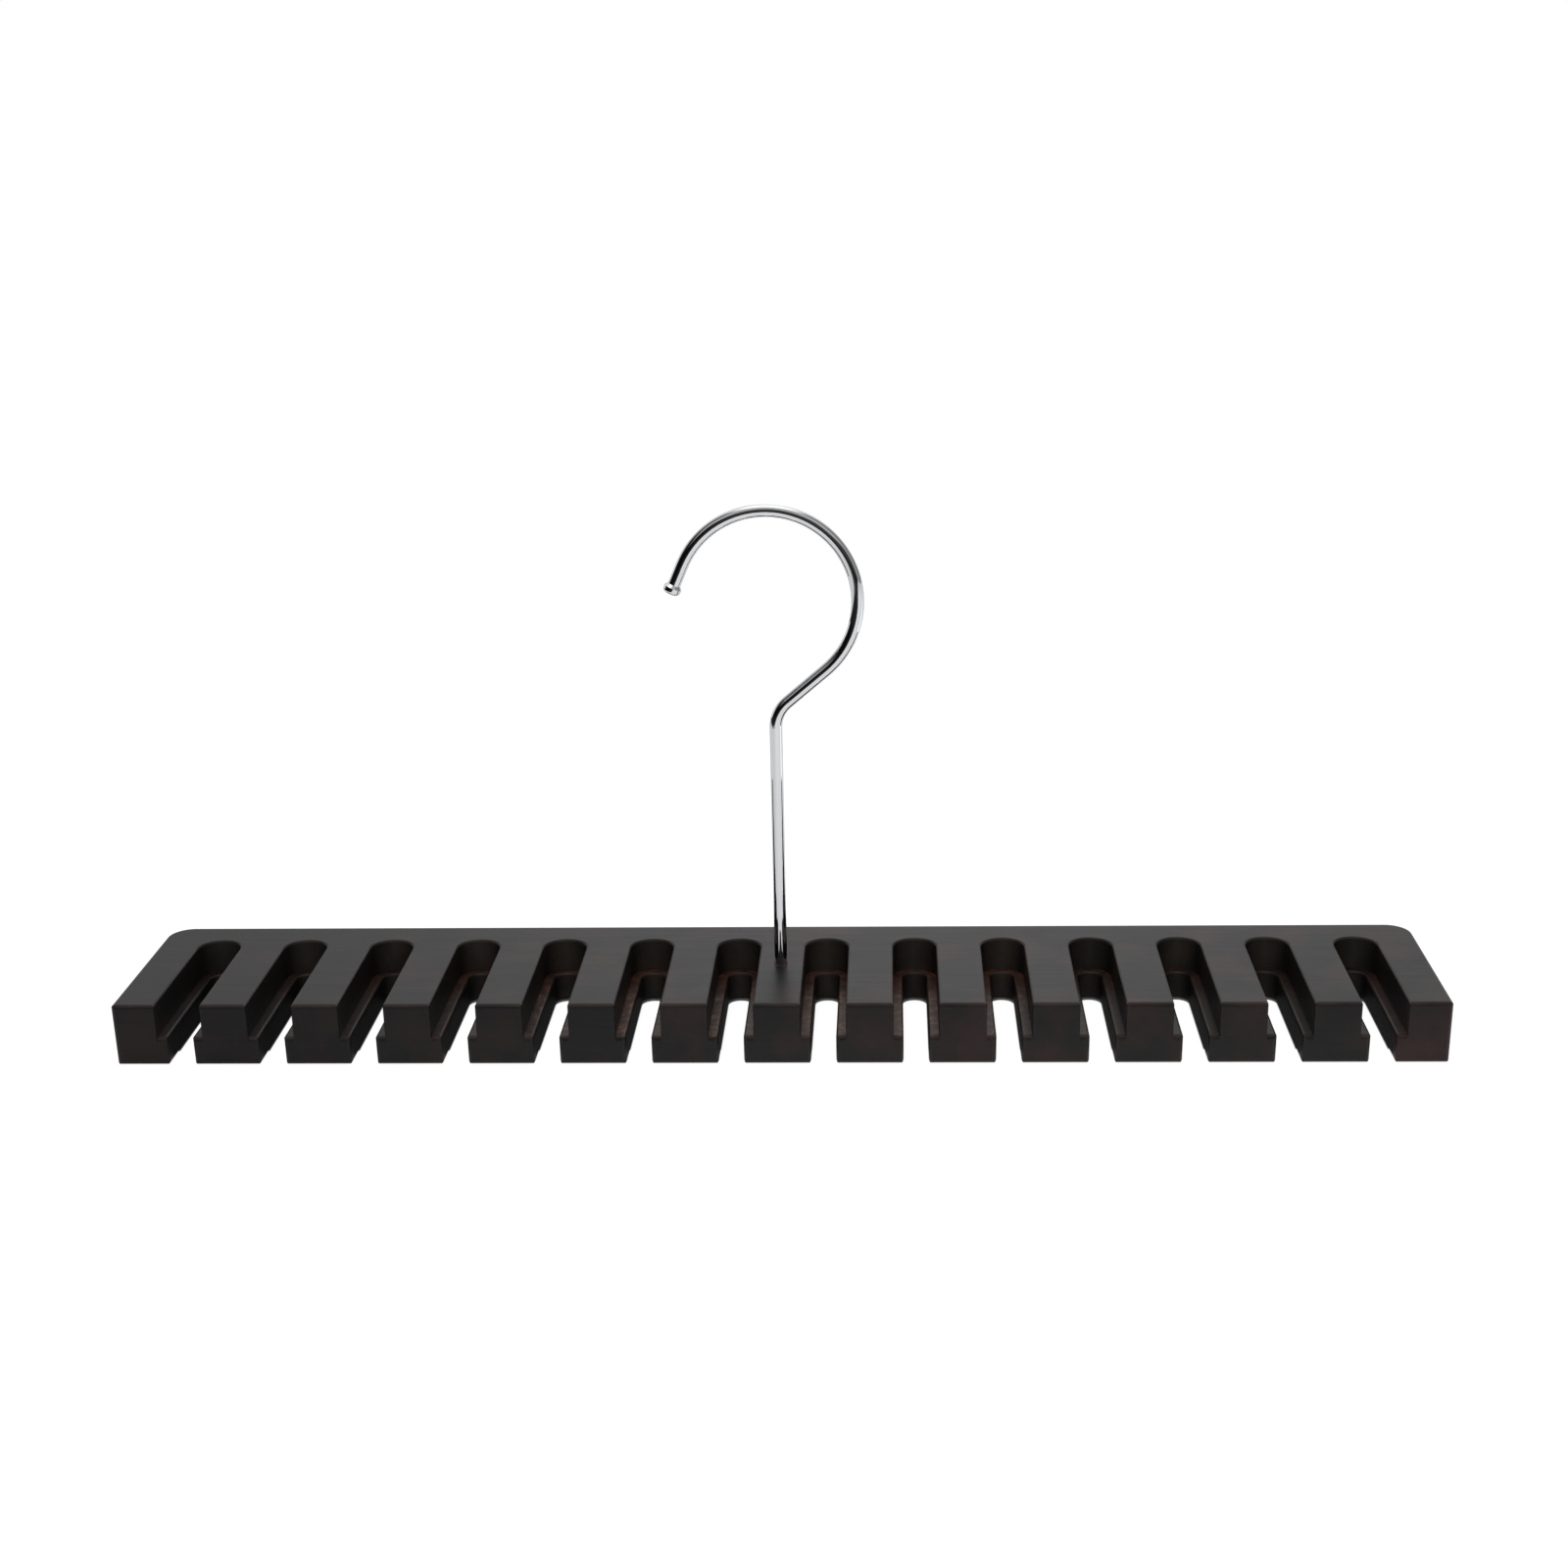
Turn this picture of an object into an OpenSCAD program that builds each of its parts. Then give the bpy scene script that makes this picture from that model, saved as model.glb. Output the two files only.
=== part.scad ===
// Tie hanger: a slotted wooden bar that turns on a hook of bent wire.
// The ties hang over the teeth and drop into the slots from the open front.
// Origin: middle of the bar's footprint, on its underside, below the hook's stem.
// +X runs along the bar, +Y points to its solid back edge, +Z is up.

/* [Bar] */
// Slots on each side of the middle tooth, which carries the hook
slots_per_side = 7; // [3:1:10]
// Distance from one slot's centre to the next
slot_pitch = 25; // [22:0.5:34]
// Width of the outermost tooth at each end, at its top
end_tooth_w = 11.75; // [10:0.05:20]
// Depth of the bar from its front to its back edge
bar_depth = 60; // [50:1:80]
// Height of the bar
bar_height = 17.5; // [16:0.5:24]
// Radius of the two back corners, seen from above
back_corner_r = 7; // [4:0.5:9]
// Rounding of the outer edges and of the edges under the teeth
edge_r = 1.1; // [0.4:0.1:1.6]

/* [Slots] */
// Width of a slot above its ledges
slot_upper_w = 12.3; // [10:0.1:14]
// Width of a slot below its ledges
slot_lower_w = 6.8; // [5:0.1:8]
// Height of the ledges above the underside
ledge_h = 8.1; // [6:0.1:10]
// Wood left behind the slots
spine = 10.85; // [9:0.05:16]
// Rounding of the slot rims, the ledge lips and the upper part of the slot mouths
slot_edge_r = 0.7; // [0.3:0.1:1.1]
// Rounding of the front corners, the ledges' front ends and the lower part of the slot mouths
front_r = 1.3; // [0.6:0.1:1.6]

/* [Hook] */
// Diameter of the wire
wire_d = 3.5; // [3:0.1:4.5]
// Inside diameter of the loop, which takes the wardrobe rail
loop_inner_d = 44.7; // [38:0.1:56]
// How far the loop's centre lies to the left of the stem
loop_shift = 1.8; // [0:0.1:5]
// Straight length of the stem above the bar
stem_rise = 68.3; // [40:0.1:110]
// Radius of the neck bend, on the wire's centre line
neck_r = 9; // [6:0.5:14]
// Lean of the wire between the neck bend and the loop, from upright
neck_angle = 50; // [42:1:60]
// Where the loop's arc ends, as an angle up and over from the right
loop_end = 156; // [130:1:175]
// Straight wire between the loop's arc and the button on the tip
tip_straight = 5.4; // [2:0.1:12]
// Diameter of the button that is headed onto the tip
tip_d = 4.8; // [4.6:0.1:7]
// Length of that button
tip_l = 2.6; // [2:0.1:4]

/* [Swivel fittings] */
// Gap between the wire and its hole in the bar, all round
swivel_gap = 0.08; // [0.03:0.01:0.1]
// Gap between the wire and the washer's hole, all round
washer_gap = 0.1; // [0.05:0.01:0.2]
// Outside diameter of the washer
washer_d = 10; // [9:0.5:12]
// Thickness of the washer
washer_t = 0.8; // [0.5:0.1:1.5]
// Steel between the nut's thread and its flats
nut_wall = 1.25; // [1.1:0.05:2]
// Height of the nut
nut_h = 4.2; // [3.6:0.1:5]
// Height of the nylon ring in the nut
insert_h = 1.2; // [0.8:0.1:1.4]
// Play along the stem between the nut and the washer
end_play = 0.1; // [0.05:0.05:0.3]
// Wire that stands out below the nut
wire_tail = 0.8; // [0.4:0.1:1.2]
// Height of the wire's end above the underside
tail_recess = 0.6; // [0.4:0.1:1.5]
// Pitch of the thread on the wire's end
thread_pitch = 0.6; // [0.5:0.05:0.8]

/* [Hidden] */
$fn = 96;
// How far a cutter runs past the face that it opens
over = 1;

// Bar and slots
slot_count = 2 * slots_per_side;
bar_length = (slot_count - 1) * slot_pitch + slot_upper_w + 2 * end_tooth_w;
front_y = -bar_depth / 2;
back_y = bar_depth / 2;
slot_end_y = back_y - spine - slot_upper_w / 2;
corner_x = bar_length / 2 - back_corner_r;
corner_y = back_y - back_corner_r;

// Pocket and fittings under the bar, stacked from the underside up
pocket_margin = 0.75;
pocket_d = washer_d + 2 * pocket_margin;
rim_chamfer = 0.3;
tail_z = tail_recess;
nut_z = tail_z + wire_tail;
washer_z = nut_z + nut_h + end_play;
pocket_z = washer_z + washer_t;
nut_af = wire_d + 2 * nut_wall;
nut_corner_d = nut_af / cos(30);
collar_wall = 0.5;
collar_lip = 0.35;
collar_lip_h = 0.15;
collar_h = insert_h + collar_lip_h + 0.05;
insert_d = nut_af - 2 * collar_wall;
washer_ease = 0.12;

// Thread, drawn as rings of the same depth and pitch
thread_turns = floor((wire_tail + nut_h) / thread_pitch);
thread_step = (wire_tail + nut_h) / thread_turns;
thread_depth = 0.55 * thread_pitch;
root_r = wire_d / 2 - thread_depth;

// Hook's centre line, in the X-Z plane: stem, neck bend, lean, loop, tip
wire_r = wire_d / 2;
loop_r = loop_inner_d / 2 + wire_r;
neck_z = bar_height + stem_rise;
loop_x = -loop_shift;
loop_z = neck_z + (loop_r + neck_r - cos(neck_angle) * (neck_r - loop_x)) / sin(neck_angle);
lean_x = neck_r - neck_r * cos(neck_angle);
lean_z = neck_z + neck_r * sin(neck_angle);
loop_start_x = loop_x + loop_r * cos(neck_angle);
loop_start_z = loop_z - loop_r * sin(neck_angle);
lean_l = norm([loop_start_x - lean_x, loop_start_z - lean_z]);
tip_x = loop_x + loop_r * cos(loop_end);
tip_z = loop_z + loop_r * sin(loop_end);
tip_r = tip_d / 2;
tip_flare = 0.8;
tip_rim = 0.9;
join_l = 0.04;
join_r = wire_r + 0.002;

// Colours as the photograph shows them
wood_colour = [0.17, 0.14, 0.13];
chrome_colour = [0.82, 0.83, 0.85];
zinc_colour = [0.66, 0.67, 0.68];
nylon_colour = [0.86, 0.85, 0.80];

// Rectangle with round corners, centred in X and standing on the X axis
module round_rect(w, h, r) {
    translate([-w / 2, r]) square([w, h - 2 * r]);
    translate([-w / 2 + r, 0]) square([w - 2 * r, h]);
    for (x = [-w / 2 + r, w / 2 - r], y = [r, h - r])
        translate([x, y]) circle(r);
}

// Area outside two rounded edges that face each other across a gap of width w.
// It opens downwards, from the height r of the roundings.
module flare(w, r) {
    difference() {
        translate([-w / 2 - r, -over]) square([w + 2 * r, r + over]);
        for (s = [-1, 1])
            translate([s * (w / 2 + r), r]) circle(r);
    }
}

// Outline of a slot, seen from the front: wide above the ledges and narrow below them
module slot_section() {
    translate([-slot_upper_w / 2, ledge_h])
        square([slot_upper_w, bar_height - ledge_h + over]);
    translate([-slot_lower_w / 2, -over])
        square([slot_lower_w, ledge_h + 2 * over]);
    flare(slot_lower_w, edge_r);
    translate([0, ledge_h]) mirror([0, 1]) flare(slot_lower_w, slot_edge_r);
    translate([0, bar_height]) mirror([0, 1]) flare(slot_upper_w, slot_edge_r);
}

// One slot, centred on X = 0, with its round back end and its eased mouth
module slot() {
    translate([0, slot_end_y, 0]) {
        rotate([90, 0, 0])
            linear_extrude(slot_end_y - front_y + over) slot_section();
        rotate_extrude(angle = 180)
            intersection() {
                slot_section();
                translate([0, -2 * over]) square([slot_upper_w, bar_height + 4 * over]);
            }
    }
    translate([0, front_y, ledge_h])
        linear_extrude(bar_height - ledge_h + over) flare(slot_upper_w, slot_edge_r);
    translate([0, front_y, -over])
        linear_extrude(ledge_h + over) flare(slot_lower_w, front_r);
    ledge_front();
}

// Rounding of the ledges' front edges, between the walls of the wide part
module ledge_front() {
    translate([-slot_upper_w / 2, front_y, ledge_h]) rotate([90, 0, 90])
        linear_extrude(slot_upper_w)
            difference() {
                translate([-over, -front_r]) square([over + front_r, front_r + over]);
                translate([front_r, -front_r]) circle(front_r);
            }
}

// Bar before its slots are cut: every outer edge is rounded
module bar_block() {
    difference() {
        intersection() {
            translate([-bar_length / 2, 0, 0]) rotate([90, 0, 90])
                linear_extrude(bar_length) round_rect(bar_depth, bar_height, edge_r);
            translate([0, back_y, 0]) rotate([90, 0, 0])
                linear_extrude(bar_depth) round_rect(bar_length, bar_height, edge_r);
            translate([0, front_y, 0])
                linear_extrude(bar_height) round_rect(bar_length, bar_depth, front_r);
        }
        for (s = [-1, 1])
            translate([s * corner_x + (s < 0 ? -back_corner_r - over : 0), corner_y, -over])
                cube([back_corner_r + over, back_corner_r + over, bar_height + 2 * over]);
    }
    for (a = [0, 90])
        translate([a > 0 ? -corner_x : corner_x, corner_y, 0]) rotate([0, 0, a])
            rotate_extrude(angle = 90) corner_section();
}

// Outline of a back corner, from its centre out to its rounded edges
module corner_section() {
    intersection() {
        round_rect(2 * back_corner_r, bar_height, edge_r);
        square([back_corner_r, bar_height]);
    }
}

// Hole for the stem, eased at the top, above the pocket for the washer and nut
module hook_seat() {
    hole_r = wire_r + swivel_gap;
    cylinder(h = bar_height + over, r = hole_r);
    translate([0, 0, bar_height - rim_chamfer])
        cylinder(h = rim_chamfer + over, r1 = hole_r, r2 = hole_r + rim_chamfer + over);
    translate([0, 0, -over]) cylinder(h = pocket_z + over, d = pocket_d);
    translate([0, 0, -over])
        cylinder(h = rim_chamfer + over, d1 = pocket_d + 2 * (rim_chamfer + over), d2 = pocket_d);
}

module slotted_bar() {
    color(wood_colour)
        difference() {
            bar_block();
            for (i = [0 : slot_count - 1])
                translate([(i - (slot_count - 1) / 2) * slot_pitch, 0, 0]) slot();
            hook_seat();
        }
}

// Straight stem with its threaded end, which the nut and its insert are cut to fit
module stem() {
    thread = [
        for (i = [0 : thread_turns - 1])
            each [[root_r, tail_z + i * thread_step], [wire_r, tail_z + (i + 0.5) * thread_step]]
    ];
    thread_end = tail_z + thread_turns * thread_step;
    rotate_extrude()
        polygon(concat(
            [[0, tail_z]], thread,
            [[root_r, thread_end], [wire_r, thread_end + end_play], [wire_r, neck_z], [0, neck_z]]
        ));
}

// Arc of wire in the X-Z plane, about the point (x, z)
module wire_arc(x, z, r, from, turn) {
    translate([x, 0, z]) rotate([90, 0, 0])
        rotate_extrude(angle = turn, start = from)
            translate([r, 0]) circle(wire_r);
}

// Button headed onto the tip: a short flare, a rim and a flat end
module tip_button() {
    rotate_extrude() {
        polygon([
            [0, 0], [wire_r, 0], [tip_r, tip_flare], [tip_r, tip_l - tip_rim], [0, tip_l - tip_rim]
        ]);
        square([tip_r - tip_rim, tip_l]);
        intersection() {
            translate([tip_r - tip_rim, tip_l - tip_rim]) circle(tip_rim);
            square([tip_r, tip_l]);
        }
    }
}

// Hair-thin disc across the wire, which makes its straight and curved lengths one solid
module wire_join(x, z, lean) {
    translate([x, 0, z]) rotate([0, lean, 0])
        cylinder(h = join_l, r = join_r, center = true);
}

// Straight wire from the point (x, z), which starts and ends inside the joining discs
module wire_run(x, z, lean, length) {
    translate([x, 0, z]) rotate([0, lean, 0]) translate([0, 0, join_l / 4])
        cylinder(h = length - join_l / 2, r = wire_r);
}

module swivel_hook() {
    color(chrome_colour) {
        stem();
        wire_join(0, neck_z, 0);
        wire_arc(neck_r, neck_z, neck_r, 180 - neck_angle, neck_angle);
        wire_join(lean_x, lean_z, neck_angle);
        wire_run(lean_x, lean_z, neck_angle, lean_l);
        wire_join(loop_start_x, loop_start_z, neck_angle);
        wire_arc(loop_x, loop_z, loop_r, -neck_angle, loop_end + neck_angle);
        wire_join(tip_x, tip_z, -loop_end);
        wire_run(tip_x, tip_z, -loop_end, tip_straight);
        translate([tip_x, 0, tip_z]) rotate([0, -loop_end, 0])
            translate([0, 0, tip_straight - join_l]) tip_button();
    }
}

module hook_washer() {
    inner_r = wire_r + washer_gap;
    outer_r = washer_d / 2;
    color(zinc_colour)
        translate([0, 0, washer_z])
            rotate_extrude()
                polygon([
                    [inner_r, 0], [outer_r - washer_ease, 0], [outer_r, washer_ease],
                    [outer_r, washer_t], [inner_r, washer_t]
                ]);
}

// Room inside the nut's collar for the nylon ring, below an inward lip
module insert_room() {
    translate([0, 0, nut_z + collar_lip_h])
        cylinder(h = insert_h, d = insert_d);
}

module lock_nut() {
    hex_z = nut_z + collar_h;
    hex_h = nut_h - collar_h;
    bevel = (nut_corner_d - nut_af) / 2;
    color(zinc_colour)
        difference() {
            union() {
                intersection() {
                    translate([0, 0, hex_z]) cylinder(h = hex_h, d = nut_corner_d, $fn = 6);
                    translate([0, 0, hex_z])
                        rotate_extrude()
                            polygon([
                                [0, 0], [nut_af / 2, 0], [nut_corner_d / 2, bevel * tan(30)],
                                [nut_corner_d / 2, hex_h - bevel * tan(30)], [nut_af / 2, hex_h],
                                [0, hex_h]
                            ]);
                }
                translate([0, 0, nut_z]) cylinder(h = collar_h, d = nut_af);
            }
            insert_room();
            translate([0, 0, nut_z - over])
                cylinder(h = collar_lip_h + 2 * over, d = insert_d - 2 * collar_lip);
            stem();
        }
}

module nut_insert() {
    color(nylon_colour)
        difference() {
            insert_room();
            stem();
        }
}

slotted_bar();
swivel_hook();
hook_washer();
lock_nut();
nut_insert();
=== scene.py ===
"""Looks of the tie hanger: stained wood, a chrome hook, its hidden fixings and a white studio.

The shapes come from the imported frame, in metres: +X runs along the bar, +Y to its solid back edge and +Z up,
with the origin on the underside of the bar, straight below the hook's stem.
"""

import logging
import math
from dataclasses import dataclass, field
from enum import Enum
from typing import Any, ClassVar

import bpy
from mathutils import Matrix, Vector


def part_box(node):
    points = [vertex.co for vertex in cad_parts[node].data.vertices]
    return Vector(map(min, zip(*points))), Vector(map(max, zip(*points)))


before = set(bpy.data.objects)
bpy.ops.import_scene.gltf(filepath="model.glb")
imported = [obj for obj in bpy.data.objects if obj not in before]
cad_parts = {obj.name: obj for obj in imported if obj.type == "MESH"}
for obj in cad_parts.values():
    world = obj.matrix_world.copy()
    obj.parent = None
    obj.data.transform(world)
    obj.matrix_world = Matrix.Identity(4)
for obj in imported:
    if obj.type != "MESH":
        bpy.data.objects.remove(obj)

LOG = logging.getLogger("tie_hanger")
MM = 0.001
WHITE = (1.0, 1.0, 1.0, 1.0)

Colour = tuple[float, float, float]
Point = tuple[float, float, float]
Socket = bpy.types.NodeSocket

# Two ends of a ramp, in the order that the ramp runs
Span = tuple[float, float]

# Middle of a window, half its width, and the width of the fade past each edge
Band = tuple[float, float, float]

# Strength of a surface's bumps, and their depth
Relief = tuple[float, float]

# Largest angles, in degrees, that are shaded as one curved surface
SMOOTH_SOLID = 30.0
SMOOTH_WIRE = 40.0

# Settings of the shared effects' noise, and the span that breaks up the rubbed edges
RUBBED_NOISE = {"Scale": 90.0, "Detail": 4.0}
RUBBED_SPAN: Span = (0.38, 0.66)
MARKS_NOISE = {"Scale": 4.0, "Detail": 5.0, "Roughness": 0.65}
CLOUDS_NOISE = {"Scale": 52.0, "Detail": 3.0, "Roughness": 0.5}

# The rim's mask peaks at a quarter before this brings it up to 1
RIM_GAIN = 4.0


class Direction(Enum):
    """Direction that the fibres of a piece of wood, or the marks of a tool, run in."""

    ALONG_X = (9.0, 150.0, 190.0)
    ALONG_Z = (150.0, 150.0, 9.0)
    EVEN = (100.0, 100.0, 100.0)


class Side(Enum):
    """Side of the studio that a lamp stands on, seen from the camera."""

    LEFT = -1
    RIGHT = 1


class Nodes:
    """Short hand for building one node tree."""

    def __init__(self, tree: bpy.types.NodeTree) -> None:
        """Keep the tree and start from an empty one.

        Args:
            tree: The node tree that is filled.
        """
        self.tree = tree
        tree.nodes.clear()

    def add(self, kind: str, inputs: dict[Any, Any] | None = None, **settings: Any) -> bpy.types.Node:
        """Add a node, set its properties and fill or link its inputs.

        Args:
            kind: Blender's name for the node's type.
            inputs: Values or output sockets, by the input's name or number.
            settings: Properties of the node itself.

        Returns:
            The new node.
        """
        node = self.tree.nodes.new(kind)
        for name, value in settings.items():
            setattr(node, name, value)
        for key, value in (inputs or {}).items():
            if isinstance(value, Socket):
                self.tree.links.new(value, node.inputs[key])
            else:
                node.inputs[key].default_value = value
        return node

    def math(self, operation: str, first: Any, second: Any = 0.0, clamp: bool = False) -> Socket:
        """Add a Math node.

        Args:
            operation: Blender's name for the operation.
            first: Value or socket of the first input.
            second: Value or socket of the second input.
            clamp: Whether the result is kept between 0 and 1.

        Returns:
            The result's socket.
        """
        return self.add("ShaderNodeMath", {0: first, 1: second}, operation=operation, use_clamp=clamp).outputs[0]

    def times(self, first: Any, *others: Any, clamp: bool = False) -> Socket:
        """Multiply values one after another.

        Args:
            first: Value or socket that the product starts from.
            others: Values or sockets that it is multiplied by.
            clamp: Whether each product is kept between 0 and 1.

        Returns:
            The product's socket.
        """
        product = first
        for value in others:
            product = self.math("MULTIPLY", product, value, clamp)
        return product

    def radius(self, first: Any, second: Any) -> Socket:
        """Find the distance from the origin of a point given by two distances square to each other.

        Args:
            first: Socket of the one distance.
            second: Socket of the other.

        Returns:
            The distance's socket.
        """
        return self.math("SQRT", self.math("ADD", self.times(first, first), self.times(second, second)))

    def wrap(self, value: Any, half: float) -> Socket:
        """Bring a value that repeats to within half a turn of zero.

        Args:
            value: Socket of the value.
            half: Half of what it repeats at.

        Returns:
            The result's socket.
        """
        return self.add("ShaderNodeMath", {0: value, 1: half, 2: -half}, operation="WRAP").outputs[0]

    def ramp(self, value: Any, span: Span, results: Span = (0.0, 1.0)) -> Socket:
        """Map a value from one span to another, held at the last result past either end.

        Args:
            value: Socket of the value.
            span: Values where the ramp starts and stops.
            results: Results at those two values.

        Returns:
            The result's socket.
        """
        inputs = {0: value, 1: span[0], 2: span[1], 3: results[0], 4: results[1]}
        return self.add("ShaderNodeMapRange", inputs, clamp=True).outputs[0]

    def window(self, value: Any, middle: float, half: float, soft: float) -> Socket:
        """Build a mask that is 1 where a value is within a distance of a middle value.

        Args:
            value: Socket that is tested.
            middle: Centre of the window.
            half: Half the window's width.
            soft: Width of the fade past each edge.

        Returns:
            The mask's socket.
        """
        away = self.math("ABSOLUTE", self.math("SUBTRACT", value, middle))
        return self.ramp(away, (half, half + soft), (1.0, 0.0))

    def mix(self, mask: Any, first: Any, second: Any) -> Socket:
        """Mix two colours.

        Args:
            mask: Share of the second colour.
            first: Colour or socket where the mask is 0.
            second: Colour or socket where the mask is 1.

        Returns:
            The mixed colour's socket.
        """
        node = self.add("ShaderNodeMix", data_type="RGBA")
        for socket, value in ((node.inputs[0], mask), (node.inputs[6], first), (node.inputs[7], second)):
            if isinstance(value, Socket):
                self.tree.links.new(value, socket)
            else:
                socket.default_value = (*value, 1.0) if isinstance(value, tuple) else value
        return node.outputs[2]

    def place(self) -> tuple[Socket, ...]:
        """Find the place on the object.

        Returns:
            The sockets of its parts along X, Y and Z.
        """
        spot = self.add("ShaderNodeTexCoord").outputs["Object"]
        return tuple(self.add("ShaderNodeSeparateXYZ", {0: spot}).outputs)

    def slant(self) -> tuple[Socket, ...]:
        """Find the direction that the surface faces.

        Returns:
            The sockets of its parts along X, Y and Z.
        """
        normal = self.add("ShaderNodeNewGeometry").outputs["Normal"]
        return tuple(self.add("ShaderNodeSeparateXYZ", {0: normal}).outputs)

    def bump(self, height: Any, relief: Relief) -> Socket:
        """Add a Bump node.

        Args:
            height: Socket of the height.
            relief: Strength and depth of the bumps.

        Returns:
            The bumped normal's socket.
        """
        inputs = {"Height": height, "Strength": relief[0], "Distance": relief[1]}
        return self.add("ShaderNodeBump", inputs).outputs[0]

    def paint(self, grey: float) -> Socket:
        """Add a matt grey shader.

        Args:
            grey: Level of all three channels.

        Returns:
            The shader's socket.
        """
        return self.add("ShaderNodeBsdfDiffuse", {"Color": (grey, grey, grey, 1.0)}).outputs[0]

    def glow(self, strength: Any, kind: str = "ShaderNodeEmission") -> Socket:
        """Add a white glowing shader.

        Args:
            strength: Value or socket of its strength.
            kind: Blender's name for the node's type.

        Returns:
            The shader's socket.
        """
        return self.add(kind, {"Color": WHITE, "Strength": strength}).outputs[0]

    def either(self, share: Any, first: Socket, second: Socket) -> Socket:
        """Mix two shaders.

        Args:
            share: Share of the second shader.
            first: Shader where the share is 0.
            second: Shader where the share is 1.

        Returns:
            The mixed shader's socket.
        """
        return self.add("ShaderNodeMixShader", {0: share, 1: first, 2: second}).outputs[0]

    def both(self, first: Socket, second: Socket) -> Socket:
        """Add two shaders up.

        Args:
            first: The one shader.
            second: The other.

        Returns:
            The sum's socket.
        """
        return self.add("ShaderNodeAddShader", {0: first, 1: second}).outputs[0]


def new_material(name: str) -> tuple[bpy.types.Material, Nodes]:
    """Start a material.

    Args:
        name: The material's name.

    Returns:
        The material, and the helper that fills it.
    """
    material = bpy.data.materials.new(name)
    material.use_nodes = True
    return material, Nodes(material.node_tree)


def new_group(name: str, inputs: dict[str, float], outputs: dict[str, str]) -> tuple[bpy.types.NodeTree, Nodes]:
    """Start a shader node group with named sockets.

    Args:
        name: The group's name.
        inputs: Default value of each float input, by name.
        outputs: Socket type of each output, by name.

    Returns:
        The group, and the helper that fills it.
    """
    group = bpy.data.node_groups.new(name, "ShaderNodeTree")
    for label, value in inputs.items():
        socket = group.interface.new_socket(label, in_out="INPUT", socket_type="NodeSocketFloat")
        socket.default_value = value
    for label, kind in outputs.items():
        group.interface.new_socket(label, in_out="OUTPUT", socket_type=kind)
    return group, Nodes(group)


def eased_edge_group() -> bpy.types.NodeTree:
    """Build the group that finds rounded edges by the slant of the surface, broken up as rubbed finish is.

    Returns:
        The group, with the output Mask.
    """
    group, nodes = new_group("eased_edges", {"Amount": 0.6}, {"Mask": "NodeSocketFloat"})
    entry = nodes.add("NodeGroupInput")
    up = nodes.slant()[2]
    upright = nodes.times(up, up)
    rim = nodes.times(upright, nodes.math("SUBTRACT", 1.0, upright), RIM_GAIN, clamp=True)
    spot = nodes.add("ShaderNodeTexCoord").outputs["Object"]
    patches = nodes.add("ShaderNodeTexNoise", {"Vector": spot, **RUBBED_NOISE})
    broken = nodes.ramp(patches.outputs["Fac"], RUBBED_SPAN)
    nodes.add("NodeGroupOutput", {"Mask": nodes.times(rim, broken, entry.outputs["Amount"], clamp=True)})
    return group


def tool_marks_group() -> bpy.types.NodeTree:
    """Build the group of fine uneven marks that every worked surface carries.

    Returns:
        The group, with the outputs Marks and Clouds.
    """
    across = dict(zip(("Across X", "Across Y", "Across Z"), Direction.EVEN.value))
    group, nodes = new_group("tool_marks", across, {"Marks": "NodeSocketFloat", "Clouds": "NodeSocketFloat"})
    entry = nodes.add("NodeGroupInput")
    spot = nodes.add("ShaderNodeTexCoord").outputs["Object"]
    spread = nodes.add("ShaderNodeCombineXYZ", {slot: entry.outputs[label] for slot, label in enumerate(across)})
    stretched = nodes.add("ShaderNodeVectorMath", {0: spot, 1: spread.outputs[0]}, operation="MULTIPLY")
    marks = nodes.add("ShaderNodeTexNoise", {"Vector": stretched.outputs[0], **MARKS_NOISE})
    clouds = nodes.add("ShaderNodeTexNoise", {"Vector": spot, **CLOUDS_NOISE})
    nodes.add("NodeGroupOutput", {"Marks": marks.outputs["Fac"], "Clouds": clouds.outputs["Fac"]})
    return group


@dataclass
class SharedEffects:
    """Node groups that more than one finish uses."""

    eased_edges: bpy.types.NodeTree = field(default_factory=eased_edge_group)
    tool_marks: bpy.types.NodeTree = field(default_factory=tool_marks_group)

    def marks(self, nodes: Nodes, direction: Direction) -> tuple[Socket, Socket]:
        """Place the tool marks in a material.

        Args:
            nodes: The material's nodes.
            direction: Direction that the marks run in.

        Returns:
            The sockets of the fine marks and of the wide clouds.
        """
        across = dict(zip(("Across X", "Across Y", "Across Z"), direction.value))
        node = nodes.add("ShaderNodeGroup", across, node_tree=self.tool_marks)
        return node.outputs["Marks"], node.outputs["Clouds"]

    def edges(self, nodes: Nodes, amount: float) -> Socket:
        """Place the eased edges in a material.

        Args:
            nodes: The material's nodes.
            amount: Strength of the rubbed edges.

        Returns:
            The mask's socket.
        """
        node = nodes.add("ShaderNodeGroup", {"Amount": amount}, node_tree=self.eased_edges)
        return node.outputs["Mask"]


class Finish:
    """Look of a surface, which becomes one material."""

    name: ClassVar[str]

    def material(self, effects: SharedEffects) -> bpy.types.Material:
        """Build the material.

        Args:
            effects: Node groups shared by the finishes.

        Returns:
            The finished material.
        """
        material, nodes = new_material(self.name)
        shader = nodes.add("ShaderNodeBsdfPrincipled", self._surface(nodes, effects))
        nodes.add("ShaderNodeOutputMaterial", {"Surface": shader.outputs[0]})
        return material

    def _surface(self, nodes: Nodes, effects: SharedEffects) -> dict[str, Any]:
        """Work out the shader's inputs.

        Args:
            nodes: The material's nodes.
            effects: Node groups shared by the finishes.

        Returns:
            Values or sockets, by the input's name.
        """
        raise NotImplementedError


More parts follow.
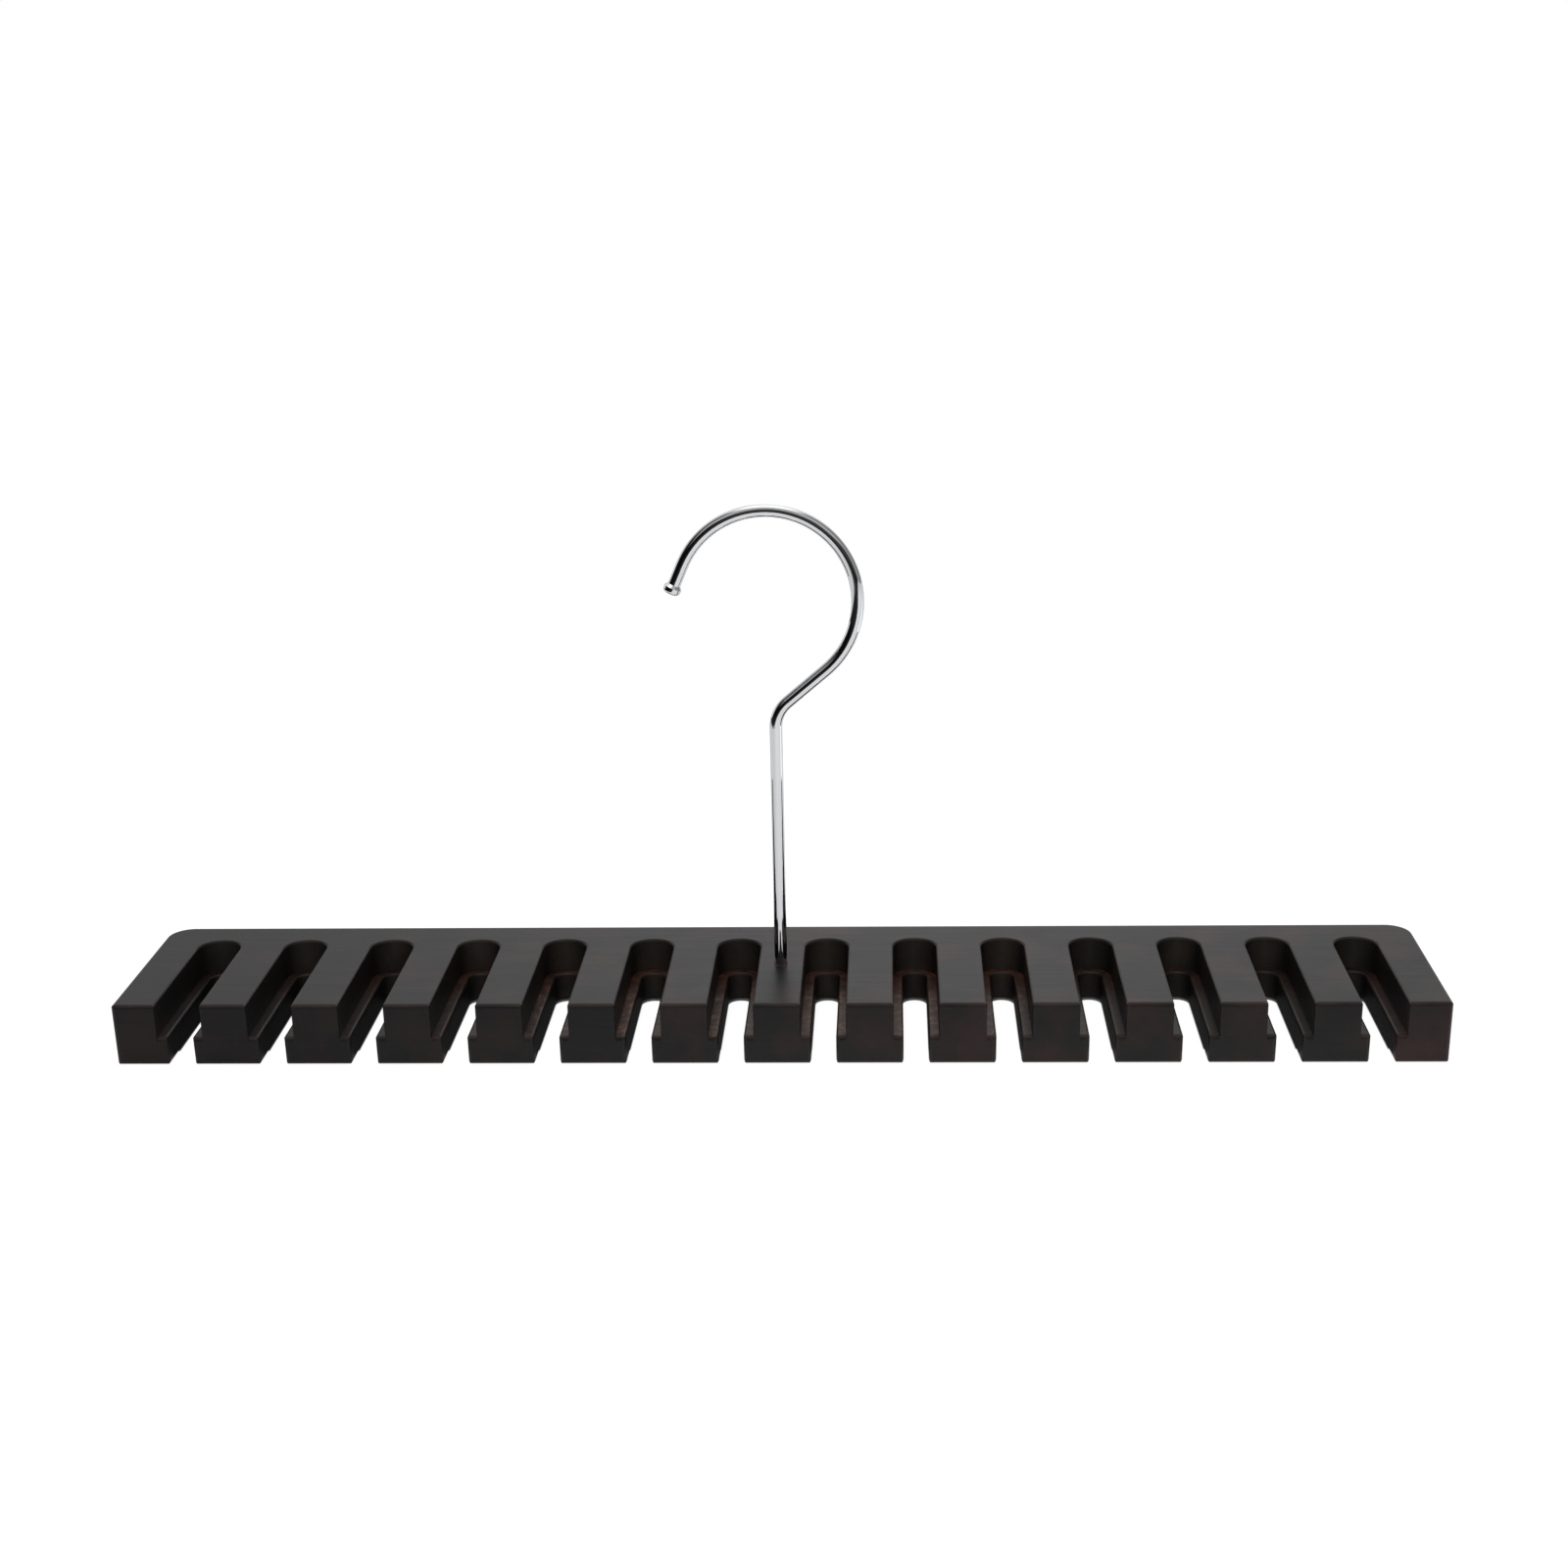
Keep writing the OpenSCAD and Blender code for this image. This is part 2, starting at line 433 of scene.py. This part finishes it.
@dataclass(frozen=True)
class LedgeStainWearAndHighlight:
    """Thin brown stain of the ledges and of the walls just above them, with pale orange patches on the front part
    of the ledges near the middle, partly wear and partly painted highlight.
    """

    ledge_z: float
    front_y: float
    ledge_half: float = 0.4 * MM
    ledge_soft: float = 0.5 * MM
    wall_half: float = 2.0 * MM
    wall_soft: float = 5.0 * MM
    wall_share: float = 0.08
    front_gap: float = 1.2 * MM
    front_soft: float = 0.4 * MM
    mottle_span: Span = (0.38, 0.66)
    mottle_share: Span = (0.12, 1.0)
    middle_x: Band = (-5 * MM, 45 * MM, 50 * MM)
    middle_share: float = 0.85
    arc_y: Band = (16 * MM, 6 * MM, 22 * MM)
    arc_share: float = 0.75
    whole_x: Band = (0.0, 60 * MM, 130 * MM)
    mouth_y: Band = (16 * MM, 12 * MM, 10 * MM)
    spot_span: Span = (0.52, 0.68)
    spot_share: float = 0.55

    def shares(self, nodes: Nodes, mottles: Socket, level: Socket) -> tuple[Socket, Socket]:
        """Find the brown stain, and the pale orange patches that are partly wear and partly painted highlight.

        Args:
            nodes: The material's nodes.
            mottles: Fine uneven marks.
            level: Mask of surfaces that face up.

        Returns:
            The share of brown, and the share of the patches of wear and painted highlight.
        """
        across, back, height = nodes.place()
        ledges = nodes.times(nodes.window(height, self.ledge_z, self.ledge_half, self.ledge_soft), level)
        foot = nodes.window(height, self.ledge_z + self.wall_half, self.wall_half, self.wall_soft)
        inside = nodes.window(back, 0.0, -self.front_y - self.front_gap, self.front_soft)
        walls = nodes.times(foot, inside, self.wall_share)
        middle = nodes.window(across, *self.middle_x)
        arc = nodes.math("ADD", nodes.times(nodes.window(back, *self.arc_y), self.arc_share), 1.0 - self.arc_share)
        kept = nodes.math("MAXIMUM", arc, nodes.times(middle, self.middle_share))
        kept = nodes.times(kept, nodes.window(across, *self.whole_x))
        uneven = nodes.ramp(mottles, self.mottle_span, self.mottle_share)
        brown = nodes.times(nodes.math("MAXIMUM", ledges, walls), kept)
        brown = nodes.times(brown, uneven, clamp=True)
        mouth = nodes.window(back, self.front_y + self.mouth_y[0], *self.mouth_y[1:])
        # Pale orange patches near the slot mouths: partly wear, partly painted highlight
        wear_and_highlight = nodes.times(nodes.ramp(mottles, self.spot_span), nodes.times(mouth, middle), self.spot_share)
        return brown, nodes.times(ledges, wear_and_highlight, clamp=True)


@dataclass(frozen=True)
class RedBrown:
    """Red-brown of the wood that shows through the stain in patches, most of all low on upright faces, and weaker
    toward the left as painted shade.
    """

    top_z: float
    front_y: float
    patch_span: Span = (0.47, 0.70)
    height_share: Span = (1.0, 0.45)
    outer_gap: Span = (4 * MM, 2 * MM)
    outer_share: Span = (0.2, 1.0)
    flat_share: float = 0.80
    # Painted shade: the red fades toward the left end of the bar
    left_shade_x: Span = (-150 * MM, 40 * MM)
    left_shade_share: Span = (0.30, 1.0)

    def share(self, nodes: Nodes, clouds: Socket) -> Socket:
        """Find the red, which is weaker toward the left as painted shade on that end of the bar.

        Args:
            nodes: The material's nodes.
            clouds: Wide uneven marks.

        Returns:
            The share of red.
        """
        across, back, height = nodes.place()
        upright = nodes.math("SUBTRACT", 1.0, nodes.math("ABSOLUTE", nodes.slant()[2]), clamp=True)
        low = nodes.ramp(height, (0.0, self.top_z), self.height_share)
        rim = (-self.front_y - self.outer_gap[0], -self.front_y - self.outer_gap[1])
        outer = nodes.ramp(nodes.math("ABSOLUTE", back), rim, self.outer_share)
        sides = nodes.times(upright, low, outer)
        flats = nodes.times(nodes.math("SUBTRACT", 1.0, upright), self.flat_share)
        patchy = nodes.ramp(clouds, self.patch_span)
        red = nodes.times(patchy, nodes.math("ADD", sides, flats), clamp=True)
        return nodes.times(red, nodes.ramp(across, self.left_shade_x, self.left_shade_share))


@dataclass(frozen=True)
class SlotEndLight:
    """Painted light on the round ends of the slots, which face the open front: a paler colour, in patches, that
    stands in for the light coming in there.
    """

    facing_span: Span = (0.45, 1.0)
    patch_span: Span = (0.40, 0.62)
    patch_share: float = 0.5
    from_y: Span = (0.0, 5 * MM)

    def share(self, nodes: Nodes, clouds: Socket) -> Socket:
        """Find the painted light on the round ends.

        Args:
            nodes: The material's nodes.
            clouds: Wide uneven marks.

        Returns:
            The share of the painted light.
        """
        facing = nodes.ramp(nodes.times(nodes.slant()[1], -1.0), self.facing_span)
        patches = nodes.times(nodes.ramp(clouds, self.patch_span), self.patch_share)
        patchy = nodes.math("ADD", patches, 1.0 - self.patch_share)
        return nodes.times(facing, patchy, nodes.ramp(nodes.place()[1], self.from_y))


@dataclass(frozen=True)
class StainedWood(Finish):
    """Near-black stained wood under a satin lacquer, paler on the ledges and bare in the hook's pocket."""

    name: ClassVar[str] = "stained_wood"

    ledge_z: float
    top_z: float
    pocket_r: float
    pocket_z: float
    hole_rim_r: float
    front_y: float
    dark: Colour = (0.0088, 0.0082, 0.0080)
    streak: Colour = (0.0128, 0.0110, 0.0106)
    red: Colour = (0.0380, 0.0185, 0.0175)
    ledge: Colour = (0.0800, 0.0340, 0.0190)
    # Pale orange of the patches near the slot mouths: partly wear, partly painted highlight
    spot: Colour = (0.2600, 0.1500, 0.0800)
    # Painted light: the paler colour of the round slot ends that face the open front
    lit_slot_end: Colour = (0.0350, 0.0300, 0.0255)
    rubbed: Colour = (0.0500, 0.0330, 0.0270)
    bare: Colour = (0.36, 0.21, 0.12)
    rim: Colour = (0.20, 0.085, 0.070)
    streak_span: Span = (0.36, 0.68)
    bare_span: Span = (0.30, 0.75)
    level_span: Span = (0.75, 0.95)
    edge_wear: float = 0.55
    pocket_play: float = 0.05 * MM
    pocket_above: float = 0.35 * MM
    pocket_soft: float = 0.02 * MM
    rim_soft: float = 0.12 * MM
    rim_half_z: float = 1.0 * MM
    rim_soft_z: float = 0.5 * MM
    sheen: float = 0.24
    ior: float = 1.42
    rough_span: Span = (0.25, 0.80)
    roughness: Span = (0.36, 0.45)
    bare_roughness: float = 0.8
    brown_roughness: float = 0.7
    relief: Relief = (0.04, 0.06 * MM)

    def _surface(self, nodes: Nodes, effects: SharedEffects) -> dict[str, Any]:
        """Work out the shader's inputs.

        Args:
            nodes: The material's nodes.
            effects: Node groups shared by the finishes.

        Returns:
            Values or sockets, by the input's name.
        """
        grain, clouds = effects.marks(nodes, Direction.ALONG_X)
        mottles = effects.marks(nodes, Direction.EVEN)[0]
        level = nodes.ramp(nodes.slant()[2], self.level_span)
        brown, spots = LedgeStainWearAndHighlight(self.ledge_z, self.front_y).shares(nodes, mottles, level)
        colour = nodes.mix(nodes.ramp(grain, self.streak_span), self.dark, self.streak)
        # The red's fade toward the left is painted shade
        colour = nodes.mix(RedBrown(self.top_z, self.front_y).share(nodes, clouds), colour, self.red)
        # Painted light on the round slot ends that face the open front
        colour = nodes.mix(SlotEndLight().share(nodes, clouds), colour, self.lit_slot_end)
        colour = nodes.mix(brown, colour, self.ledge)
        # Patches near the slot mouths: partly wear, partly painted highlight
        colour = nodes.mix(spots, colour, self.spot)
        colour = nodes.mix(effects.edges(nodes, self.edge_wear), colour, self.rubbed)
        pocket, hole = self._drilled(nodes)
        colour = nodes.mix(pocket, colour, nodes.mix(nodes.ramp(grain, self.bare_span), self.bare, self.rubbed))
        colour = nodes.mix(hole, colour, self.rim)
        unlacquered = nodes.times(nodes.math("MAXIMUM", pocket, hole), self.bare_roughness)
        dull = nodes.math("MAXIMUM", unlacquered, nodes.times(brown, self.brown_roughness))
        return {
            "Base Color": colour,
            "Roughness": nodes.math("MAXIMUM", nodes.ramp(grain, self.rough_span, self.roughness), dull),
            "IOR": self.ior,
            "Specular IOR Level": self.sheen,
            "Normal": nodes.bump(grain, self.relief),
        }

    def _drilled(self, nodes: Nodes) -> tuple[Socket, Socket]:
        """Find the pocket under the middle tooth, and the rim of the hole that the stem turns in.

        Args:
            nodes: The material's nodes.

        Returns:
            The mask of the pocket, and the mask of the rim.
        """
        across, back, height = nodes.place()
        radius = nodes.radius(across, back)
        near = nodes.window(radius, 0.0, self.pocket_r + self.pocket_play, self.pocket_soft)
        pocket = nodes.times(near, nodes.window(height, self.pocket_above, self.pocket_z, self.pocket_soft))
        close = nodes.window(radius, 0.0, self.hole_rim_r, self.rim_soft)
        return pocket, nodes.times(close, nodes.window(height, self.top_z, self.rim_half_z, self.rim_soft_z))


@dataclass(frozen=True)
class Chrome(Finish):
    """Bright chrome plate with the faint unevenness of drawn wire."""

    name: ClassVar[str] = "chrome"

    colour: Colour = (0.74, 0.745, 0.76)
    shade: Colour = (0.64, 0.645, 0.67)
    shade_share: float = 0.35
    rough_span: Span = (0.3, 0.8)
    roughness: Span = (0.035, 0.085)
    relief: Relief = (0.05, 0.05 * MM)

    def _surface(self, nodes: Nodes, effects: SharedEffects) -> dict[str, Any]:
        """Work out the shader's inputs.

        Args:
            nodes: The material's nodes.
            effects: Node groups shared by the finishes.

        Returns:
            Values or sockets, by the input's name.
        """
        marks, clouds = effects.marks(nodes, Direction.ALONG_Z)
        return {
            "Base Color": nodes.mix(nodes.times(clouds, self.shade_share), self.colour, self.shade),
            "Metallic": 1.0,
            "Roughness": nodes.ramp(marks, self.rough_span, self.roughness),
            "Normal": nodes.bump(clouds, self.relief),
        }


@dataclass(frozen=True)
class ZincSteel(Finish):
    """Zinc-plated steel of the washer and the nut, dulled and rubbed brighter on its edges."""

    name: ClassVar[str] = "zinc_steel"

    colour: Colour = (0.42, 0.43, 0.44)
    cloud: Colour = (0.56, 0.56, 0.53)
    bright: Colour = (0.72, 0.72, 0.72)
    cloud_span: Span = (0.35, 0.7)
    edge_wear: float = 0.7
    metallic: float = 0.9
    rough_span: Span = (0.25, 0.8)
    roughness: Span = (0.28, 0.5)
    relief: Relief = (0.2, 0.03 * MM)

    def _surface(self, nodes: Nodes, effects: SharedEffects) -> dict[str, Any]:
        """Work out the shader's inputs.

        Args:
            nodes: The material's nodes.
            effects: Node groups shared by the finishes.

        Returns:
            Values or sockets, by the input's name.
        """
        marks = effects.marks(nodes, Direction.EVEN)[0]
        plate = nodes.mix(nodes.ramp(marks, self.cloud_span), self.colour, self.cloud)
        return {
            "Base Color": nodes.mix(effects.edges(nodes, self.edge_wear), plate, self.bright),
            "Metallic": self.metallic,
            "Roughness": nodes.ramp(marks, self.rough_span, self.roughness),
            "Normal": nodes.bump(marks, self.relief),
        }


@dataclass(frozen=True)
class Nylon(Finish):
    """Milky nylon of the ring inside the nut."""

    name: ClassVar[str] = "nylon"

    colour: Colour = (0.74, 0.73, 0.67)
    deep: Colour = (0.60, 0.59, 0.52)
    deep_span: Span = (0.35, 0.7)
    milkiness: float = 0.15
    rough_span: Span = (0.3, 0.8)
    roughness: Span = (0.4, 0.55)
    relief: Relief = (0.1, 0.05 * MM)

    def _surface(self, nodes: Nodes, effects: SharedEffects) -> dict[str, Any]:
        """Work out the shader's inputs.

        Args:
            nodes: The material's nodes.
            effects: Node groups shared by the finishes.

        Returns:
            Values or sockets, by the input's name.
        """
        marks, clouds = effects.marks(nodes, Direction.EVEN)
        return {
            "Base Color": nodes.mix(nodes.ramp(clouds, self.deep_span), self.colour, self.deep),
            "Roughness": nodes.ramp(marks, self.rough_span, self.roughness),
            "Subsurface Weight": self.milkiness,
            "Normal": nodes.bump(marks, self.relief),
        }


def dress(node: bpy.types.Object, material: bpy.types.Material, smooth_angle: float) -> None:
    """Give a CAD piece its finish and soft shading across its gentle facets.

    Args:
        node: The CAD piece.
        material: The finish.
        smooth_angle: Largest angle, in degrees, that is shaded as one curved surface.
    """
    node.data.materials.clear()
    node.data.materials.append(material)
    node.data.shade_smooth()
    node.data.set_sharp_from_angle(angle=math.radians(smooth_angle))


@dataclass
class WoodenBar:
    """The slotted bar, with the washer that lies in its pocket."""

    effects: SharedEffects
    zinc: bpy.types.Material
    ledge_z: float = 8.1 * MM
    pocket_r: float = 5.75 * MM
    pocket_z: float = 6.5 * MM
    hole_rim_r: float = 2.05 * MM

    def build(self) -> list[bpy.types.Object]:
        """Dress the bar and the washer.

        Returns:
            The dressed pieces.
        """
        low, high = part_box("slotted_bar")
        wood = StainedWood(
            ledge_z=self.ledge_z,
            top_z=high.z,
            pocket_r=self.pocket_r,
            pocket_z=self.pocket_z,
            hole_rim_r=self.hole_rim_r,
            front_y=low.y,
        )
        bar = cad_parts["slotted_bar"]
        dress(bar, wood.material(self.effects), SMOOTH_SOLID)
        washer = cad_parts["hook_washer"]
        dress(washer, self.zinc, SMOOTH_SOLID)
        return [bar, washer]


@dataclass
class SwivelHook:
    """The bent wire hook, with the lock nut and nylon ring that turn with it."""

    effects: SharedEffects
    zinc: bpy.types.Material

    def build(self) -> list[bpy.types.Object]:
        """Dress the hook, the nut and its ring.

        Returns:
            The dressed pieces.
        """
        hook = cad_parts["swivel_hook"]
        dress(hook, Chrome().material(self.effects), SMOOTH_WIRE)
        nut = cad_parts["lock_nut"]
        dress(nut, self.zinc, SMOOTH_SOLID)
        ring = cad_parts["nut_insert"]
        dress(ring, Nylon().material(self.effects), SMOOTH_SOLID)
        return [hook, nut, ring]


@dataclass
class PhotoCamera:
    """The camera that took the photograph, as fitted to the bar's slots and ends; angles are in degrees."""

    place: Point = (30.5 * MM, -596.9 * MM, 252.6 * MM)
    turn: float = 1.877
    look_down: float = 21.405
    roll: float = -0.862
    focal_px: float = 2339.2
    centre_px: tuple[float, float] = (836.8, 979.5)
    image_px: float = 1600.0
    sensor_mm: float = 36.0
    clip: Span = (0.01, 50.0)

    def build(self) -> bpy.types.Object:
        """Make the scene's camera.

        Returns:
            The camera.
        """
        data = bpy.data.cameras.new("photo_camera")
        data.sensor_width = self.sensor_mm
        data.lens = self.focal_px / self.image_px * self.sensor_mm
        data.shift_x = (self.image_px / 2 - self.centre_px[0]) / self.image_px
        data.shift_y = (self.centre_px[1] - self.image_px / 2) / self.image_px
        data.clip_start, data.clip_end = self.clip
        camera = bpy.data.objects.new("photo_camera", data)
        bpy.context.scene.collection.objects.link(camera)
        camera.matrix_world = (
            Matrix.Translation(self.place)
            @ Matrix.Rotation(math.radians(self.turn), 4, "Z")
            @ Matrix.Rotation(math.radians(90.0 - self.look_down), 4, "X")
            @ Matrix.Rotation(math.radians(self.roll), 4, "Z")
        )
        bpy.context.scene.camera = camera
        return camera


@dataclass(frozen=True)
class GlowPatch:
    """Soft-edged patch of the studio's surroundings; angles are in degrees, with azimuth 0 behind the hanger."""

    azimuth: float
    half_width: float
    elevation: float
    half_height: float
    strength: float
    soft: float = 12.0

    def over(self, nodes: Nodes, azimuth: Socket, elevation: Socket, glow: Any) -> Socket:
        """Lay the patch over the glow found so far.

        Args:
            nodes: The world's nodes.
            azimuth: Azimuth of the direction looked in.
            elevation: Elevation of the direction looked in.
            glow: Glow of the surroundings beneath this patch.

        Returns:
            The glow with the patch.
        """
        turned = nodes.wrap(nodes.math("SUBTRACT", azimuth, self.azimuth), 180.0)
        beside = nodes.window(turned, 0.0, self.half_width, self.soft)
        mask = nodes.times(beside, nodes.window(elevation, self.elevation, self.half_height, self.soft))
        return nodes.math("ADD", glow, nodes.times(mask, nodes.math("SUBTRACT", self.strength, glow)))


@dataclass(frozen=True)
class StudioFloor:
    """Floor that is near white to the camera, and pale paper with dark parts to everything else."""

    half: float = 12.0
    level: float = -0.02 * MM
    white: float = 0.90
    shade: float = 0.26
    paper: float = 0.85
    black: float = 0.02
    sheet_glow: float = 0.16
    foot_glow: float = 0.56
    foot_y: Band = (0.0, 38 * MM, 26 * MM)
    left_x: Span = (-150 * MM, 0.0)
    left_share: Span = (0.20, 1.0)
    contact: float = 0.1 * MM
    contact_glow: float = 0.8
    beneath_x: Band = (0.0, 178 * MM, 6 * MM)
    beneath_y: Band = (0.0, 22 * MM, 6 * MM)
    beneath_share: float = 0.93
    corner_slope: float = -0.75
    corner_scale: float = 0.8
    corner_span: Span = (0.30, 0.42)
    slot_pitch: float = 25 * MM
    slot_half: float = 3.3 * MM
    slot_end_y: float = 13.0 * MM
    slot_shadow: float = 1.4 * MM
    shadow_soft: float = 0.3 * MM
    shadow_x: Band = (0.0, 170 * MM, 1 * MM)
    shadow_y: Band = (0.0, 20 * MM, 1 * MM)

    def build(self) -> bpy.types.Object:
        """Make the floor.

        Returns:
            The floor.
        """
        mesh = bpy.data.meshes.new("floor")
        corners = [(x * self.half, y * self.half, self.level) for x, y in ((-1, -1), (1, -1), (1, 1), (-1, 1))]
        mesh.from_pydata(corners, [], [(0, 1, 2, 3)])
        floor = bpy.data.objects.new("floor", mesh)
        bpy.context.scene.collection.objects.link(floor)
        material, nodes = new_material("pale_floor")
        path = nodes.add("ShaderNodeLightPath")
        seen = nodes.math("MAXIMUM", path.outputs["Is Camera Ray"], path.outputs["Is Transmission Ray"])
        lit = nodes.either(seen, self._reflected(nodes, path), self._seen(nodes))
        gone = nodes.add("ShaderNodeBsdfTransparent").outputs[0]
        below = nodes.add("ShaderNodeNewGeometry").outputs["Backfacing"]
        nodes.add("ShaderNodeOutputMaterial", {"Surface": nodes.either(below, lit, gone)})
        mesh.materials.append(material)
        return floor

    def _seen(self, nodes: Nodes) -> Socket:
        """Build what the camera sees of the floor: near white, with the shadow of the bar.

        Args:
            nodes: The floor's nodes.

        Returns:
            The shader.
        """
        clear = nodes.times(nodes.math("SUBTRACT", 1.0, self._slot_shadow(nodes)), self.white)
        return nodes.both(nodes.paint(self.shade), nodes.glow(clear))

    def _slot_shadow(self, nodes: Nodes) -> Socket:
        """Find the floor at the round ends of the slots, which lies in the dark of the bar.

        Args:
            nodes: The floor's nodes.

        Returns:
            The share of shadow.
        """
        across, back, _ = nodes.place()
        half = self.slot_pitch / 2
        beside = nodes.wrap(nodes.math("SUBTRACT", across, half), half)
        behind = nodes.math("MAXIMUM", nodes.math("SUBTRACT", back, self.slot_end_y - self.slot_shadow), 0.0)
        in_slot = nodes.window(nodes.radius(beside, behind), 0.0, self.slot_half, self.shadow_soft)
        dark = nodes.times(nodes.math("SUBTRACT", 1.0, in_slot), nodes.window(back, *self.shadow_y))
        return nodes.times(dark, nodes.window(across, *self.shadow_x))

    def _reflected(self, nodes: Nodes, path: bpy.types.Node) -> Socket:
        """Build what light and reflections meet: paper that glows near the bar, dark in some parts.

        Args:
            nodes: The floor's nodes.
            path: The light path's node.

        Returns:
            The shader.
        """
        across, back, _ = nodes.place()
        mirrored = path.outputs["Is Glossy Ray"]
        foot = nodes.times(nodes.window(back, *self.foot_y), self.foot_glow)
        strength = nodes.times(mirrored, nodes.math("ADD", foot, self.sheet_glow))
        strength = nodes.times(strength, nodes.ramp(across, self.left_x, self.left_share))
        glowing = nodes.both(nodes.paint(self.paper), nodes.glow(strength))
        sheet = nodes.either(nodes.times(self._dark_parts(nodes), mirrored), glowing, nodes.paint(self.black))
        touching = nodes.math("LESS_THAN", path.outputs["Ray Length"], self.contact)
        return nodes.either(touching, sheet, nodes.glow(self.contact_glow))

    def _dark_parts(self, nodes: Nodes) -> Socket:
        """Find the parts of the floor that are dark in reflections: under the bar, and past a front corner.

        Args:
            nodes: The floor's nodes.

        Returns:
            The share of dark floor.
        """
        across, back, _ = nodes.place()
        beneath = nodes.times(nodes.window(across, *self.beneath_x), nodes.window(back, *self.beneath_y))
        forward = nodes.math("SUBTRACT", nodes.times(across, self.corner_slope), back)
        corner = nodes.ramp(nodes.times(forward, self.corner_scale), self.corner_span)
        return nodes.math("MAXIMUM", nodes.times(beneath, self.beneath_share), corner, clamp=True)


@dataclass(frozen=True)
class SoftLamp:
    """Round lamp that points at the hanger and isn't mirrored by it."""

    name: str
    side: Side
    place: Point
    watts: float
    size: float = 0.6
    aim: Point = (0.0, 0.0, 30 * MM)

    def build(self) -> bpy.types.Object:
        """Make the lamp, its place being the distance from the middle, the depth and the height.

        Returns:
            The lamp.
        """
        data = bpy.data.lights.new(self.name, "AREA")
        data.shape = "DISK"
        data.size = self.size
        data.energy = self.watts
        lamp = bpy.data.objects.new(self.name, data)
        bpy.context.scene.collection.objects.link(lamp)
        beside, depth, height = self.place
        lamp.location = Vector((self.side.value * beside, depth, height))
        lamp.visible_glossy = False
        lamp.rotation_euler = (Vector(self.aim) - lamp.location).to_track_quat("-Z", "Y").to_euler()
        return lamp


@dataclass
class WhiteStudio:
    """White surroundings with dark corners for the chrome, a white floor and two lamps."""

    surround: float = 1.02
    lamps: tuple[SoftLamp, ...] = (
        SoftLamp("key_lamp", Side.RIGHT, (0.10, -1.0, 0.50), 2.9),
        SoftLamp("fill_lamp", Side.LEFT, (0.4, -0.3, 1.3), 1.5),
    )
    patches: tuple[GlowPatch, ...] = (
        GlowPatch(0.0, 30.0, 22.0, 16.0, 1.22),
        GlowPatch(-34.0, 18.0, 20.0, 14.0, 0.72),
        GlowPatch(34.0, 18.0, 20.0, 14.0, 0.82),
        GlowPatch(95.0, 38.0, 25.0, 34.0, 0.27, 18.0),
        GlowPatch(-95.0, 25.0, 42.0, 15.0, 0.10, 16.0),
        GlowPatch(180.0, 62.0, 30.0, 28.0, 0.50, 16.0),
        GlowPatch(-172.0, 34.0, 14.0, 13.0, 0.05),
        GlowPatch(145.0, 18.0, 3.0, 14.0, 0.05),
        GlowPatch(-98.0, 16.0, 12.0, 16.0, 0.03),
        GlowPatch(-130.0, 28.0, 3.0, 15.0, 0.004),
        GlowPatch(0.0, 180.0, 90.0, 16.0, 1.50),
    )

    def build(self) -> list[bpy.types.Object]:
        """Make the world, the floor and the lamps.

        Returns:
            The floor and the lamps.
        """
        self._world()
        return [StudioFloor().build(), *(lamp.build() for lamp in self.lamps)]

    def _world(self) -> None:
        """Make the world white to the camera, and a patchwork of pale and dark parts to everything else."""
        world = bpy.data.worlds.new("studio")
        world.use_nodes = True
        bpy.context.scene.world = world
        nodes = Nodes(world.node_tree)
        camera_ray = nodes.add("ShaderNodeLightPath").outputs["Is Camera Ray"]
        way = nodes.add("ShaderNodeTexCoord").outputs["Generated"]
        right, behind, up = nodes.add("ShaderNodeSeparateXYZ", {0: way}).outputs
        azimuth = nodes.math("DEGREES", nodes.math("ARCTAN2", right, behind))
        elevation = nodes.math("DEGREES", nodes.math("ARCSINE", up))
        strength: Any = self.surround
        for patch in self.patches:
            strength = patch.over(nodes, azimuth, elevation, strength)
        glow = nodes.glow(strength, "ShaderNodeBackground")
        white = nodes.glow(1.0, "ShaderNodeBackground")
        nodes.add("ShaderNodeOutputWorld", {"Surface": nodes.either(camera_ray, glow, white)})


def main() -> None:
    """Build the camera, the studio and the two halves of the hanger, and log what was built."""
    logging.basicConfig(level=logging.INFO, format="%(name)s: %(message)s")
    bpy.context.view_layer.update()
    bpy.context.scene.view_settings.view_transform = "Standard"
    effects = SharedEffects()
    zinc = ZincSteel().material(effects)
    camera = PhotoCamera().build()
    LOG.info("camera %s", camera.name)
    for part in (WhiteStudio(), WoodenBar(effects, zinc), SwivelHook(effects, zinc)):
        for piece in part.build():
            LOG.info("%s: %s", type(part).__name__, piece.name)


if __name__ == "__main__":
    main()
